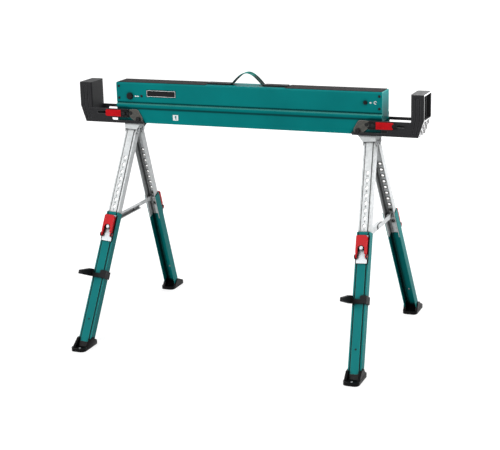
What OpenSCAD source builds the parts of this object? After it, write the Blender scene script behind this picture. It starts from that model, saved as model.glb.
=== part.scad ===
// Folding builders trestle: a steel beam on two folding leg pairs with telescoping legs,
// sliding timber arms at both ends and a carry strap on top.
// Origin on the floor below the middle of the beam, X along the beam, -Y to the user, Z up.

/* [Beam] */
// Length of the beam shell
beam_l = 896; // [820:1:1100]
// Outside width of the beam shell
beam_w = 73; // [70:0.5:85]
// Height of the beam shell
beam_h = 131; // [125:1:150]
// Working height, floor to the top of the beam
beam_top_z = 810; // [770:1:900]
// Sheet thickness of the beam
beam_wall = 2; // [1.5:0.1:2.5]
// Radius of the beam's top edges
beam_edge_r = 5; // [3:0.5:8]
// Height of the bead pressed along each side
bead_h = 25; // [20:1:26]
// How far the bead stands out from the side
bead_out = 4; // [2:0.5:5]
// How far the groove above the bead goes in
bead_in = 2.2; // [1:0.1:2.6]
// Height of the bead's middle above the beam's lower edge
bead_up = 57; // [56:1:61]

/* [Timber arms] */
// Gap between beam end and upright with the arm out
timber_gap = 89; // [70:1:110]
// How far the arm slides in
arm_travel = 51; // [30:1:52]
// Thickness of the upright along the beam
upright_t = 42; // [34:1:55]
// Height of the arm's rails
arm_h = 46; // [44:0.5:50]
// Thickness of the arm's side plates
arm_plate_t = 4; // [3.5:0.1:5]
// Wall of the hollow upright
upright_wall = 4; // [3:0.5:5]
// Height of the upright's top below the beam top
upright_drop = 3; // [0:0.5:10]

/* [Red latch] */
// Length of the latch
latch_l = 82; // [70:1:90]
// Height of the latch
latch_h = 21; // [16:0.5:22]
// Thickness of the latch
latch_t = 4.7; // [3:0.1:7]
// How far the latch slides out
latch_travel = 20; // [10:1:22]

/* [Fold hinge] */
// Distance of the fold bolt from the beam end
fold_inset = 76; // [70:1:90]
// Radius of the fold bolt
fold_r = 5; // [4:0.1:5.5]
// Thickness of the bracket plates on the beam
bracket_t = 2.2; // [1.5:0.1:3]
// Sheet thickness of the leg head
head_t = 2.5; // [2:0.1:3]

/* [Legs] */
// Outward lean of a leg pair along the beam, in degrees
lean = 4.08; // [2:0.01:6]
// Spread of each leg to its side, in degrees
splay = 25.95; // [22:0.01:28]
// Width of the upper leg channel
leg_w = 37; // [32:0.5:40]
// Sheet thickness of the upper leg
leg_wall = 2; // [1.5:0.1:2.5]
// Length of the upper leg below its swing pin
upper_l = 382; // [360:1:400]
// Sheet thickness of the lower leg
low_wall = 2.2; // [1.6:0.1:2.6]
// Length of upper leg inside the lower leg with the legs out
leg_overlap = 100; // [90:1:120]
// Radius of the height holes
hole_r = 5; // [4.6:0.1:6]
// Spacing of the height holes
hole_pitch = 23.5; // [20:0.5:24]
// Number of height holes
hole_n = 11; // [8:1:11]
// Radius of the swing pins
pin_r = 4; // [3:0.1:5]

/* [Leg locks] */
// Length of the lock's base plate
base_l = 86; // [82:1:92]
// Width of the lock lever
lever_w = 34; // [28:0.5:34]
// Length of the lever from its free end to its pivot
lever_l = 65; // [60:1:70]
// Radius of the lock pin
lock_r = 4; // [3:0.1:4.4]

/* [Feet] */
// Length of the sole across the beam
foot_l = 100; // [98:1:120]
// Width of the sole
foot_w = 50; // [48:1:60]
// Thickness of the sole
sole_t = 6; // [4:0.5:9]
// Height of the sole's upturned rim
rim_h = 11; // [8:0.5:14]

/* [Leg pegs] */
// Length of a peg from its pivot
peg_l = 82; // [70:1:110]
// Height of the clip band along the leg
clip_h = 24; // [18:0.5:28]
// Distance of the clip below the lower leg's top
clip_drop = 206; // [196:1:230]

/* [Carry strap] */
// Clear span of the strap's arch
strap_span = 114; // [90:1:130]
// Rise of the arch above the beam top
strap_rise = 44; // [38:1:55]
// Width of the strap
strap_w = 22; // [16:1:30]
// Thickness of the strap
strap_t = 3.4; // [2.5:0.1:5]

/* [Hidden] */
$fn = 48;

// Finishes
teal = "#007f7a";
zinc = "#c9cccd";
red = "#d8151f";
black = "#1f1f21";
bracket_grey = "#5d5d59";
grip_brown = "#2b2422";

// Clearances
cut = 1;          // overrun of every cut
run_fit = 0.06;   // shaft in a bore that turns or slides
seat_fit = 0.1;   // bolt or plug in a hole of its own body
slide_gap = 0.3;  // faces that slide past each other
tele_gap = 0.4;   // upper leg in lower leg

// Beam
beam_bottom_z = beam_top_z - beam_h;
beam_end_x = beam_l / 2;
beam_side_y = beam_w / 2;
beam_in_y = beam_side_y - beam_wall;
bead_z = beam_bottom_z + bead_up;
bead_shares = [0.5, 0.3, 0.08, -0.04, -0.5];

// End caps
cap_t = 3;
cap_skirt = 18;
cap_bottom_drop = 90;
cap_screw_r = 2.2;
cap_screw_head_r = 4.2;
cap_screw_head_t = 2;
cap_screw_inset = 9;
cap_screw_drops = [13, 51];

// Anti-slip strips
strip_end_gap = 4;
strip_side_gap = 5;
strip_t = 1.4;
strip_pitch = 6;
strip_groove = 1.6;
strip_groove_t = 0.6;

// Strap
strap_foot = 20;
plate_l = 78;
plate_w = 28;
plate_t = 5;
plate_r = 4;
strap_steps = 28;
strap_bow_share = 0.8;

// Fold bolt and bracket
fold_x = beam_end_x - fold_inset;
fold_rise = 12;
fold_z = beam_bottom_z + fold_rise;
fold_head_r = 7.5;
fold_head_t = 3;
fold_shoulder_r = fold_r;
bush_r = 9;
socket_share = 0.42;
bolt_dx = 27;
bolt_dz = 19;
bolt_x = fold_x + bolt_dx;
bolt_z = fold_z + bolt_dz;
bolt_r = 3;
bolt_head_r = 6;
bolt_head_t = 1.6;
bracket_round = 14;
bracket_top_dx = 10;
bracket_top_dz = 18;
bracket_lug_r = 12;
bracket_y = beam_side_y + bracket_t;

// Timber arm
arm_in_y = bracket_y + slide_gap;
arm_out_y = arm_in_y + arm_plate_t;
arm_rise = 44;
arm_top_z = beam_bottom_z + arm_rise;
arm_bottom_z = arm_top_z - arm_h;
rail_in_x = fold_x - fold_head_r - arm_plate_t - bracket_round / 2;
window_h = fold_shoulder_r + slide_gap;
window_end = 13;
window_out_x = beam_end_x + window_end;
plate_clear = 2;
plate_in_x = bolt_x + bolt_head_r + plate_clear;
groove_y = arm_in_y + bolt_head_t + slide_gap;
groove_half = bolt_head_r + slide_gap;
groove_out_x = bolt_x + arm_travel + bolt_head_r + slide_gap;
upright_in_x = beam_end_x + timber_gap;
upright_out_x = upright_in_x + upright_t;
upright_top_z = beam_top_z - upright_drop;
kink_rise = 6;
kink_z = arm_top_z + kink_rise;
foot_back_in = 17;
upright_round = 6.5;
round_shares = [[1, 0], [0.5, 0.13], [0.13, 0.5], [0, 1]];
rib_t = 3;
rib_back = 8;
lattice_t = 6;
lattice_w = 31;
lattice_h = 17;
lattice_n = 4;
flute_w = 16;
flute_rib_w = 9;
flute_depth = 2.2;
flute_margin = 8;
arm_span = 2 * (arm_out_y - upright_wall);

// Latch
latch_lead = 3;
latch_in_x = plate_in_x - latch_lead;
latch_clear = 0.5;
latch_z = fold_z + fold_head_r + latch_clear + latch_h / 2;
latch_round = 5;
latch_mouth_h = 13;
latch_mouth_l = 12;
latch_y = arm_out_y + slide_gap;
latch_screw_inset = 17;
latch_screw_x = latch_in_x + latch_screw_inset;
latch_screw_r = 3;
latch_screw_head_r = 6;
latch_screw_head_t = 2;
latch_pin_r = 4;
latch_pin_inset = 4;
latch_pin_x = latch_in_x + latch_l - latch_pin_inset;
latch_slot_spare = 14;
grip_rib_n = 4;
grip_rib_w = 2;
grip_rib_t = 1.2;
grip_rib_pitch = 6;
grip_rib_from = 30;

// Release buttons on the front of the beam
button_rs = [10, 5.3];
button_insets = [48, 53];
flat_low_z = bead_z + bead_h * bead_shares[0];
button_shares = [0.2845528, 0.4634146]; // of the flat side above the bead
button_zs = [for (share = button_shares) flat_low_z + (beam_top_z - flat_low_z) * share];
button_out = 5;
button_flange = 2.5;
button_flange_t = 2;

// Leg head and swing pins
head_offset = 34.1;
pin_drop = 27;
pin_x = fold_x + head_offset;
pin_z = beam_bottom_z - pin_drop;
head_side_gap = 3;
head_out_y = beam_in_y - head_side_gap;
head_in_y = head_out_y - head_t;
head_clear = 1;
pin_inset = 9.9;
leg_gap = 0.4;
pin_half = head_in_y - head_clear - pin_inset / cos(splay);
lug_r = pin_half - leg_gap;
cheek_in_x = leg_w / 2 + slide_gap;
cheek_out_x = cheek_in_x + head_t;
cheek_lug_r = 12;
head_low = 4;
fold_lug_r = 11;
fold_lx = -head_offset * cos(lean) + (pin_drop + fold_rise) * sin(lean);
fold_lz = head_offset * sin(lean) + (pin_drop + fold_rise) * cos(lean);
pin_head_r = 6;
pin_head_t = 2;

// Leg channels
panel_rise = 1.5;
panel_share = 0.56;
panel_w = leg_w * panel_share;
line_w = 3;
line_t = 1.2;
low_top = upper_l - leg_overlap;
lock_drop = 51;
lock_z = low_top + lock_drop;
low_half_w = leg_w / 2 + tele_gap + low_wall;
low_out_y = pin_inset + tele_gap + low_wall;
low_edge_y = lug_r + slide_gap;
leg_axis_l = pin_z / (cos(splay) * cos(lean));
low_corner = max(low_edge_y, low_out_y) * tan(splay) + low_half_w * tan(lean) / cos(splay);
low_end = leg_axis_l - sole_t / (cos(splay) * cos(lean)) - low_corner;

// Leg lock
base_t = 2;
base_w = 40;
base_round = 4;
base_top_gap = 11;
base_top = low_top + base_top_gap;
barrel_r = 7;
barrel_h = 8;
ear_t = 2.5;
ear_r = 7;
trunnion_r = 3;
trunnion_h = 7;
lever_t = 4;
lever_h = 14;
lever_round = 5;
lever_skirt = 3.5;
lever_boss_r = 5;
lever_clear = 1.3;
lever_top_gap = 2;
lever_top = base_top + lever_top_gap;
lever_pivot = lever_top + lever_l;
lever_plate_l = 57;
arch_w = 22;
arch_up = 26;
lock_head_r = 5.5;
lock_head_t = 3;

// Brace
brace_below = 18;
brace_along = low_top + brace_below;
brace_depth = 6;
brace_r = 4;
brace_h = 18;
brace_t = 2.2;
brace_flange = 11;
brace_gap = 0.3;
brace_flat_t = 3;
brace_tail = 36;
brace_half = pin_half + brace_along * sin(splay) - brace_depth * cos(splay);
brace_drop = brace_along * cos(splay) + brace_depth * sin(splay);
rivet_r = 4;
rivet_head_r = brace_h / 2 - brace_t - slide_gap;
rivet_head_t = 2;

// Foot
foot_x = pin_x + pin_z * tan(lean);
foot_y = pin_half + pin_z * tan(splay) / cos(lean);
foot_toe = 50;
foot_round = 15;
rim_t = 4;
cheek_h = 30;
cheek_front = 4;
cheek_heel = 14;
cheek_gap = 1.5;
foot_plug = 30;

// Peg and clip
clip_t = 3.2;
clip_along = low_top + clip_drop;
clip_hook = 6;
stub_r = 5;
stub_l = 13;
clip_notch_share = 0.2;
peg_eye_r = 12;
peg_eye_t = 11;
peg_root_h = 24;
peg_tip_h = 12;
peg_tip_drop = 11;
peg_w = 11;
peg_tip_w = 9;
peg_tip_t = 4;

// Frames and small shapes

module at_side(s) {
    mirror([s < 0 ? 1 : 0, 0, 0]) children();
}

module front_and_back() {
    children();
    mirror([0, 1, 0]) children();
}

// Frame of a leg head: origin midway between the two swing pins, leaning with the leg pair
module head_frame(s) {
    at_side(s) translate([pin_x, 0, pin_z]) rotate([0, -lean, 0]) children();
}

// Frame of one leg: origin at its swing pin, the leg along -Z, its outer face towards -Y
module leg_frame(s, f) {
    head_frame(s) mirror([0, f > 0 ? 1 : 0, 0])
        translate([0, -pin_half, 0]) rotate([-splay, 0, 0]) children();
}

// Outline in X and Z, given thickness from y0 towards +Y
module along_y(y0, t) {
    translate([0, y0 + t, 0]) rotate([90, 0, 0]) linear_extrude(t) children();
}

// Outline in Y and Z, given thickness from x0 towards +X
module along_x(x0, t) {
    translate([x0, 0, 0]) rotate([90, 0, 90]) linear_extrude(t) children();
}

module bar_y(x, z, r, y0, y1) {
    translate([x, y0, z]) rotate([-90, 0, 0]) cylinder(r = r, h = y1 - y0);
}

module bar_x(y, z, r, x0, x1) {
    translate([x0, y, z]) rotate([0, 90, 0]) cylinder(r = r, h = x1 - x0);
}

// Rectangle with round corners from its lowest corner
module rounded_rect(w, h, r) {
    translate([r, 0]) square([w - 2 * r, h]);
    translate([0, r]) square([w, h - 2 * r]);
    for (x = [r, w - r], y = [r, h - r]) translate([x, y]) circle(r);
}

// Slot with round ends on a level line
module slot(x0, x1, z, r) {
    translate([x0, z - r]) square([x1 - x0, 2 * r]);
    for (x = [x0, x1]) translate([x, z]) circle(r);
}

// Beam

// Right half of the beam's section, inset by a sheet thickness
function beam_half(inset, low_z) = let (
    r = beam_edge_r,
    hw = beam_side_y - inset,
    zt = beam_top_z - inset
) concat(
    [for (a = [90:-15:0]) [hw - r + r * cos(a), zt - r + r * sin(a)]],
    [
        [hw, bead_z + bead_h * bead_shares[0]],
        [hw - bead_in, bead_z + bead_h * bead_shares[1]],
        [hw + bead_out, bead_z + bead_h * bead_shares[2]],
        [hw + bead_out, bead_z + bead_h * bead_shares[3]],
        [hw, bead_z + bead_h * bead_shares[4]],
        [hw, low_z]
    ]
);

module beam_outline(inset, low_z) {
    right = beam_half(inset, low_z);
    n = len(right) - 1;
    polygon(concat(right, [for (i = [n:-1:0]) [-right[i].x, right[i].y]]));
}

module cap_screw_places() {
    for (s = [-1, 1], d = cap_screw_drops) at_side(s) front_and_back()
        translate([beam_end_x - cap_screw_inset, -beam_side_y, beam_top_z - d])
            rotate([-90, 0, 0]) children();
}

module beam_shell() {
    color(teal) difference() {
        along_x(-beam_end_x, beam_l) difference() {
            beam_outline(0, beam_bottom_z);
            beam_outline(beam_wall, beam_bottom_z - cut);
        }
        for (s = [-1, 1]) at_side(s) {
            bar_y(fold_x, fold_z, fold_r + seat_fit, -beam_w, beam_w);
            bar_y(bolt_x, bolt_z, bolt_r + seat_fit, -beam_w, beam_w);
        }
        for (i = [0, 1]) at_side(2 * i - 1)
            bar_y(beam_end_x - button_insets[i], button_zs[i],
                button_rs[i] + run_fit, -beam_w, 0);
        cap_screw_places() translate([0, 0, -beam_wall])
            cylinder(r = cap_screw_r + seat_fit, h = 3 * beam_wall);
    }
}

// Cap that closes the upper part of the beam's end, with skirts that the screws hold
module end_cap(s) {
    low_z = beam_top_z - cap_bottom_drop;
    top_z = beam_top_z - beam_wall - seat_fit;
    half = beam_in_y - seat_fit;
    color(teal) difference() {
        at_side(s) intersection() {
            union() {
                translate([beam_end_x - cap_t, -half, low_z]) cube([cap_t, 2 * half, top_z - low_z]);
                for (y = [-half, half - cap_t])
                    translate([beam_end_x - cap_skirt, y, low_z]) cube([cap_skirt, cap_t, top_z - low_z]);
            }
            along_x(0, beam_l) beam_outline(beam_wall + seat_fit, beam_bottom_z);
        }
        cap_screw_places() cylinder(r = cap_screw_r + seat_fit, h = 2 * cap_t + beam_wall);
    }
}

module cap_screws() {
    color(black) cap_screw_places() {
        cylinder(r = cap_screw_r, h = beam_wall + cap_t);
        translate([0, 0, -cap_screw_head_t]) intersection() {
            cylinder(r = cap_screw_head_r, h = cap_screw_head_t);
            translate([0, 0, cap_screw_head_r]) sphere(r = cap_screw_head_r + cap_screw_head_t / 4);
        }
    }
}

// Anti-slip strip with fine grooves along its length
module grip_strip(s) {
    x0 = strap_span / 2 + plate_l;
    x1 = beam_end_x - strip_end_gap;
    half = beam_side_y - strip_side_gap;
    color(grip_brown) at_side(s) difference() {
        translate([x0, -half, beam_top_z]) cube([x1 - x0, 2 * half, strip_t]);
        for (y = [-half + strip_pitch:strip_pitch:half - strip_pitch / 2])
            translate([x0 - cut, y - strip_groove / 2, beam_top_z + strip_t - strip_groove_t])
                cube([x1 - x0 + 2 * cut, strip_groove, strip_t]);
    }
}

// Rise and slope of the strap's arch at a share of its half span: a parabola eased by a cosine wave
function strap_up(u) = strap_bow_share * (1 - u * u) + (1 - strap_bow_share) * (1 + cos(180 * u)) / 2;
function strap_slope(u) = -2 * strap_bow_share * u - (1 - strap_bow_share) * PI / 2 * sin(180 * u);

// One face of the arch, half a strap's thickness above or below its middle line
function strap_face(side) = let (
    half = strap_span / 2 - strap_t,
    rise = strap_rise - strap_t
) [
    for (i = [0:strap_steps]) let (
        u = 2 * i / strap_steps - 1,
        tilt = atan(strap_slope(u) * rise / half)
    ) [
        half * u - side * strap_t / 2 * sin(tilt),
        strap_t / 2 + rise * strap_up(u) + side * strap_t / 2 * cos(tilt)
    ]
];

module carry_strap() {
    low = strap_face(-1);
    foot_in = strap_span / 2 - strap_t;
    color(teal) translate([0, 0, beam_top_z]) {
        along_y(-strap_w / 2, strap_w)
            polygon(concat(strap_face(1), [for (i = [strap_steps:-1:0]) low[i]]));
        for (s = [-1, 1]) at_side(s)
            translate([foot_in, -strap_w / 2, 0]) cube([strap_foot, strap_w, strap_t]);
    }
}

// Clamp plates that hold the strap's feet down on the beam
module strap_plates() {
    color(black) for (s = [-1, 1]) at_side(s) translate([strap_span / 2, -plate_w / 2, beam_top_z])
        difference() {
            linear_extrude(plate_t) rounded_rect(plate_l - seat_fit, plate_w, plate_r);
            translate([-cut, (plate_w - strap_w) / 2 - seat_fit, -cut])
                cube([
                    strap_foot - strap_t + cut + seat_fit,
                    strap_w + 2 * seat_fit,
                    strap_t + cut + seat_fit
                ]);
        }
}

// Brackets on the beam and the fold bolts

// Bolt head towards the user, chamfered, with a hexagon socket
module bolt_head(x, y, z, r, t) {
    translate([x, y, z]) rotate([90, 0, 0]) difference() {
        union() {
            cylinder(r = r, h = t / 2);
            translate([0, 0, t / 2]) cylinder(r1 = r, r2 = r - t / 2, h = t / 2);
        }
        translate([0, 0, t / 2]) linear_extrude(t)
            polygon([for (a = [0:60:300]) r * socket_share * [cos(a), sin(a)]]);
    }
}

module bracket(s) {
    color(bracket_grey) at_side(s) front_and_back() difference() {
        along_y(-bracket_y, bracket_t) hull() {
            translate([fold_x, fold_z]) circle(bracket_round);
            translate([fold_x + bracket_top_dx, fold_z + bracket_top_dz]) circle(bracket_round);
            translate([bolt_x, bolt_z]) circle(bracket_lug_r);
        }
        bar_y(fold_x, fold_z, fold_r + seat_fit, -beam_w, 0);
        bar_y(bolt_x, bolt_z, bolt_r + seat_fit, -beam_w, 0);
    }
}

module bracket_bolts() {
    color(black) for (s = [-1, 1]) at_side(s) front_and_back() {
        bar_y(bolt_x, bolt_z, bolt_r, -bracket_y, -beam_in_y);
        bolt_head(bolt_x, -bracket_y, bolt_z, bolt_head_r, bolt_head_t);
        bar_y(bolt_x, bolt_z, bolt_head_r, -beam_in_y, -beam_in_y + bolt_head_t);
    }
}

// Through bolt that the leg head folds on, with heads outside the timber arm's plates
module fold_bolt(s) {
    shank = arm_out_y + slide_gap;
    color(black) at_side(s) {
        bar_y(fold_x, fold_z, fold_r, -shank, shank);
        front_and_back() bolt_head(fold_x, -shank, fold_z, fold_head_r, fold_head_t);
    }
}

// Spacer rings between the leg head and the beam's sides
module fold_bushes() {
    color(zinc) for (s = [-1, 1]) at_side(s) front_and_back() difference() {
        bar_y(fold_x, fold_z, bush_r, -beam_in_y, -head_out_y - slide_gap);
        bar_y(fold_x, fold_z, fold_r + seat_fit, -beam_w, 0);
    }
}

module release_button(s) {
    i = s < 0 ? 0 : 1;
    x = beam_end_x - button_insets[i];
    z = button_zs[i];
    color(black) at_side(s) {
        bar_y(x, z, button_rs[i], -beam_side_y - button_out, -beam_in_y + slide_gap);
        bar_y(x, z, button_rs[i] + button_flange,
            -beam_in_y + slide_gap, -beam_in_y + slide_gap + button_flange_t);
    }
}

// Timber arms

// Outline of one side plate: a long lower rail, the latch plate above the window, solid outboard
module arm_plate_outline() {
    translate([rail_in_x, arm_bottom_z])
        square([window_out_x - rail_in_x, fold_z - window_h - arm_bottom_z]);
    translate([plate_in_x, fold_z + window_h])
        square([window_out_x - plate_in_x, arm_top_z - fold_z - window_h]);
    difference() {
        translate([window_out_x, arm_bottom_z]) square([upright_in_x + upright_wall - window_out_x, arm_h]);
        translate([window_out_x, fold_z]) circle(window_h);
    }
}

module upright_outline() {
    polygon([
        [upright_in_x, arm_bottom_z],
        [upright_out_x - foot_back_in, arm_bottom_z],
        [upright_out_x, kink_z],
        [upright_out_x, upright_top_z],
        [upright_in_x, upright_top_z]
    ]);
}

// Upright: a box that is open outwards above the kink and below its floor, with rounded inner edges
module upright() {
    difference() {
        along_y(-arm_out_y, 2 * arm_out_y) upright_outline();
        along_y(-arm_span / 2, arm_span) {
            translate([upright_in_x + upright_wall, kink_z])
                square([upright_t, upright_top_z - upright_wall - kink_z]);
            translate([upright_in_x + upright_wall, arm_bottom_z - cut])
                square([upright_t, kink_z - rib_t - arm_bottom_z + cut]);
        }
        front_and_back() translate([upright_in_x, -arm_out_y, arm_top_z])
            linear_extrude(upright_top_z - arm_top_z + cut)
                polygon(concat(
                    [[-cut, upright_round], [-cut, -cut], [upright_round, -cut]],
                    upright_round * round_shares
                ));
    }
    for (y = [-arm_span / 6, arm_span / 6]) along_y(y - rib_t / 2, rib_t)
        translate([upright_in_x, kink_z - rib_t])
            square([upright_t - rib_back, upright_top_z - kink_z]);
}

// Crossed bars that close the slanted end below the kink
module end_lattice() {
    low_h = kink_z - arm_bottom_z;
    intersection() {
        along_x(upright_in_x, upright_t) intersection() {
            translate([-arm_out_y, arm_bottom_z]) square([2 * arm_out_y, low_h]);
            for (i = [-lattice_n:lattice_n], a = [-1, 1])
                translate([i * lattice_w, arm_bottom_z + low_h / 2]) rotate(a * atan(lattice_h / lattice_w))
                    square([lattice_n * lattice_w, rib_t], center = true);
        }
        along_y(-arm_out_y + upright_wall / 2, 2 * arm_out_y - upright_wall) polygon([
            [upright_out_x - foot_back_in - lattice_t, arm_bottom_z],
            [upright_out_x - foot_back_in, arm_bottom_z],
            [upright_out_x, kink_z],
            [upright_out_x - lattice_t, kink_z]
        ]);
    }
}

// Line of the groove on the upright's side: down from the top, then along the slanted foot
module flute(w) {
    top = upright_top_z - flute_margin - flute_w / 2;
    low = arm_bottom_z + flute_margin + (flute_w - w) / 2;
    translate([upright_in_x + upright_t / 2, 0]) {
        translate([-w / 2, kink_z]) square([w, top - kink_z]);
        translate([0, top]) circle(w / 2);
        polygon([
            [-w / 2, kink_z],
            [w / 2, kink_z],
            [(w - foot_back_in) / 2, low],
            [-(w + foot_back_in) / 2, low]
        ]);
    }
}

module support_arm(s) {
    color(black) at_side(s) difference() {
        union() {
            front_and_back() along_y(-arm_out_y, arm_plate_t) arm_plate_outline();
            upright();
            end_lattice();
        }
        front_and_back() {
            along_y(-groove_y, groove_y - arm_in_y + cut)
                slot(bolt_x, bolt_x + arm_travel, bolt_z, groove_half);
            along_y(-arm_out_y - cut, flute_depth + cut) difference() {
                flute(flute_w);
                flute(flute_rib_w);
            }
            along_y(-arm_out_y - cut, arm_plate_t + 2 * cut)
                slot(beam_end_x + latch_round, latch_pin_x + latch_travel + latch_slot_spare, latch_z,
                    latch_pin_r + slide_gap);
        }
        bar_y(latch_screw_x, latch_z, latch_screw_r + seat_fit, -arm_out_y - cut, -arm_in_y + cut);
    }
}

// Red slide latch: a jaw round its guide screw at the inner end, a pin in the arm's slot at the outer end
module arm_latch(s) {
    jaw = latch_screw_r + slide_gap;
    color(red) at_side(s) {
        along_y(-latch_y - latch_t, latch_t) difference() {
            translate([latch_in_x, latch_z - latch_h / 2]) rounded_rect(latch_l, latch_h, latch_round);
            slot(latch_in_x - latch_round, latch_screw_x, latch_z, jaw);
            translate([latch_in_x, latch_z]) polygon([
                [-cut, latch_mouth_h / 2],
                [latch_mouth_l, jaw],
                [latch_mouth_l, -jaw],
                [-cut, -latch_mouth_h / 2]
            ]);
        }
        bar_y(latch_pin_x, latch_z, latch_pin_r, -latch_y - cut, -arm_in_y - slide_gap);
        for (i = [0:grip_rib_n - 1])
            translate([latch_in_x + grip_rib_from + i * grip_rib_pitch, -latch_y - latch_t - grip_rib_t,
                latch_z - latch_h / 2 + latch_round / 2])
                cube([grip_rib_w, grip_rib_t + cut, latch_h - latch_round]);
    }
}

// Guide screw that keeps the latch on the arm
module latch_screw(s) {
    seat = latch_y + latch_t + slide_gap;
    color(black) at_side(s) {
        bar_y(latch_screw_x, latch_z, latch_screw_r, -seat, -groove_y - slide_gap);
        bolt_head(latch_screw_x, -seat, latch_z, latch_screw_head_r, latch_screw_head_t);
    }
}

// Leg head: two side plates on the fold bolt, joined by the cheeks that hold the swing pins

module head_plate_outline() {
    hull() {
        translate([fold_lx, fold_lz]) circle(fold_lug_r);
        translate([-cheek_out_x, head_low]) square([2 * cheek_out_x, fold_lz - head_low]);
    }
}

module cheek_outline() {
    translate([-head_out_y, head_low]) square([2 * head_out_y, fold_lz - head_low]);
    for (y = [-pin_half, pin_half]) translate([y, 0]) {
        circle(cheek_lug_r);
        translate([-cheek_lug_r, 0]) square([2 * cheek_lug_r, head_low]);
    }
}

module leg_head(s) {
    color(zinc) head_frame(s) difference() {
        union() {
            front_and_back() along_y(-head_out_y, head_t) head_plate_outline();
            for (x = [-cheek_out_x, cheek_in_x]) along_x(x, head_t) cheek_outline();
        }
        bar_y(fold_lx, fold_lz, fold_r + run_fit, -beam_w, beam_w);
        for (y = [-pin_half, pin_half]) bar_x(y, 0, pin_r + seat_fit, -leg_w, leg_w);
    }
}

module swing_pins(s) {
    color(zinc) head_frame(s) for (y = [-pin_half, pin_half]) {
        bar_x(y, 0, pin_r, -cheek_out_x, cheek_out_x);
        bar_x(y, 0, pin_head_r, -cheek_out_x - pin_head_t, -cheek_out_x);
        bar_x(y, 0, pin_head_r, cheek_out_x, cheek_out_x + pin_head_t);
    }
}

// Legs

// Channel section, open on +Y: flanges, lands and a raised middle panel between two pressed lines
module channel_outline(half_w, out_y, edge_y, wall, panel_half) {
    land_y = -out_y + panel_rise;
    difference() {
        union() {
            translate([-half_w, land_y]) square([2 * half_w, edge_y - land_y]);
            translate([-panel_half, -out_y]) square([2 * panel_half, panel_rise + wall]);
        }
        translate([-half_w + wall, land_y + wall]) square([2 * (half_w - wall), edge_y - land_y]);
        translate([-panel_half + wall, -out_y + wall]) square([2 * (panel_half - wall), panel_rise + wall]);
        for (x = [-panel_half - line_w, panel_half])
            translate([x, land_y - cut]) square([line_w, line_t + cut]);
    }
}

module upper_leg(s, f) {
    color(zinc) leg_frame(s, f) difference() {
        intersection() {
            translate([0, 0, -upper_l]) linear_extrude(upper_l + lug_r)
                channel_outline(leg_w / 2, pin_inset, lug_r, leg_wall, panel_w / 2);
            along_x(-leg_w, 2 * leg_w) union() {
                circle(lug_r);
                translate([-2 * lug_r, -upper_l - cut]) square([4 * lug_r, upper_l + cut]);
            }
        }
        for (i = [0:hole_n - 1])
            bar_y(0, -lock_z + i * hole_pitch, hole_r, -2 * pin_inset, 0);
        bar_x(0, 0, pin_r + run_fit, -leg_w, leg_w);
        bar_x(brace_depth, -brace_along, brace_r + run_fit, -leg_w, leg_w);
    }
}

module lower_leg(s, f) {
    color(teal) leg_frame(s, f) difference() {
        translate([0, 0, -low_end]) linear_extrude(low_end - low_top)
            channel_outline(low_half_w, low_out_y, low_edge_y, low_wall, panel_w / 2 + tele_gap + low_wall);
        bar_y(0, -lock_z, lock_r + seat_fit, -2 * low_out_y, 0);
    }
}

// Side of the shoe beside the leg: low at the toe, highest in front of the leg's web
module cheek_outline_of_foot() {
    toe = -foot_toe + foot_round + cheek_gap;
    heel = foot_l - foot_toe - foot_round - cheek_gap;
    polygon([
        [toe, 0],
        [toe, sole_t],
        [-cheek_front, cheek_h],
        [heel - cheek_heel, cheek_h],
        [heel, sole_t],
        [heel, 0]
    ]);
}

// Shoe: sole with an upturned rim, cheeks beside the leg, a seat below its end, a plug in its channel
module foot(s, f) {
    half = low_half_w + seat_fit;
    out = low_out_y + seat_fit;
    edge = low_edge_y + seat_fit;
    plug_half = low_half_w - low_wall - seat_fit;
    plug_in = low_wall + panel_rise + 2 * seat_fit;
    color(black) difference() {
        intersection() {
            union() {
                at_side(s) mirror([0, f > 0 ? 1 : 0, 0]) translate([foot_x, -foot_y, 0]) {
                    translate([-foot_w / 2, -foot_toe, 0]) {
                        linear_extrude(sole_t) rounded_rect(foot_w, foot_l, foot_round);
                        linear_extrude(rim_h) difference() {
                            rounded_rect(foot_w, foot_l, foot_round);
                            translate([rim_t, rim_t])
                                rounded_rect(foot_w - 2 * rim_t, foot_l - 2 * rim_t, foot_round - rim_t);
                        }
                    }
                    rotate([0, -lean, 0]) for (x = [-foot_w / 2, low_half_w - rim_t])
                        along_x(x, foot_w / 2 - low_half_w + rim_t) cheek_outline_of_foot();
                }
                leg_frame(s, f) translate([-half, -out, -leg_axis_l - foot_plug])
                    cube([2 * half, out + edge, leg_axis_l - low_end + foot_plug + seat_fit]);
            }
            translate([-beam_l, -beam_l, 0]) cube([2 * beam_l, 2 * beam_l, beam_l]);
        }
        leg_frame(s, f) difference() {
            translate([-half, -out, -low_end]) cube([2 * half, out + edge, low_end]);
            translate([-plug_half, -out + plug_in, -low_end - cut])
                cube([2 * plug_half, edge + out - plug_in, foot_plug + cut]);
        }
    }
}

// Leg locks

// Zinc base plate with the lock pin's barrel and two ears for the lever
module lock_base(s, f) {
    face = -low_out_y - base_t;
    ear_x = lever_w / 2 + slide_gap;
    color(zinc) leg_frame(s, f) difference() {
        union() {
            along_y(face, base_t) translate([-base_w / 2, -base_top - base_l])
                rounded_rect(base_w, base_l, base_round);
            bar_y(0, -lock_z, barrel_r, face - barrel_h, face);
            for (x = [-ear_x - ear_t, ear_x]) along_x(x, ear_t) {
                translate([face - trunnion_h, -lever_pivot]) circle(ear_r);
                translate([face - trunnion_h, -lever_pivot - ear_r]) square([trunnion_h, 2 * ear_r]);
            }
        }
        bar_y(0, -lock_z, lock_r + run_fit, -4 * low_out_y, 0);
        bar_x(face - trunnion_h, -lever_pivot, trunnion_r + run_fit, -base_w, base_w);
    }
}

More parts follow.
